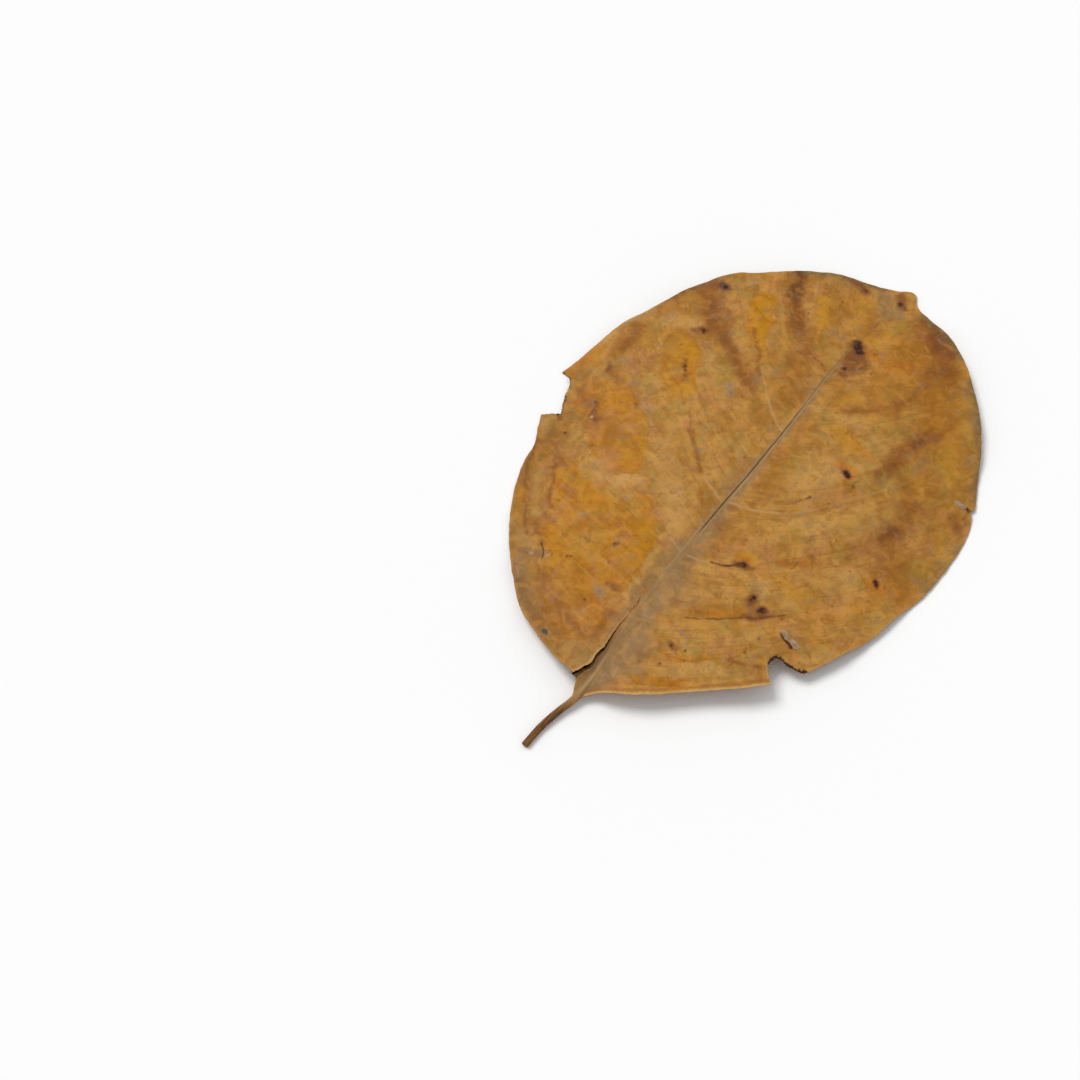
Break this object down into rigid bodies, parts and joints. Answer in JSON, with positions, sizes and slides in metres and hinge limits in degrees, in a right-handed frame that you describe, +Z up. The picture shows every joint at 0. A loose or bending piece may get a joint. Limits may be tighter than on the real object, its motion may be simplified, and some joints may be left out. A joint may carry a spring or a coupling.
{
  "type": "dried jackfruit leaf",
  "caption": "Dry brown broad leaf with a short stalk, a waved margin, a torn base and a shallow arch, lying with its upper face up.",
  "frame": {"origin": "centre of the leaf's bounding box in plan, on the surface that it lies on", "axes": "+Y from the stalk to the tip of the blade, +Z up out of the upper face, +X across the blade"},
  "size_m": [0.1136, 0.171, 0.008],
  "materials": {
    "leaf": "dry satin leaf skin, tan to golden brown"
  },
  "bodies": {
    "root": {"leaf": "leaf"}
  },
  "joints": []
}
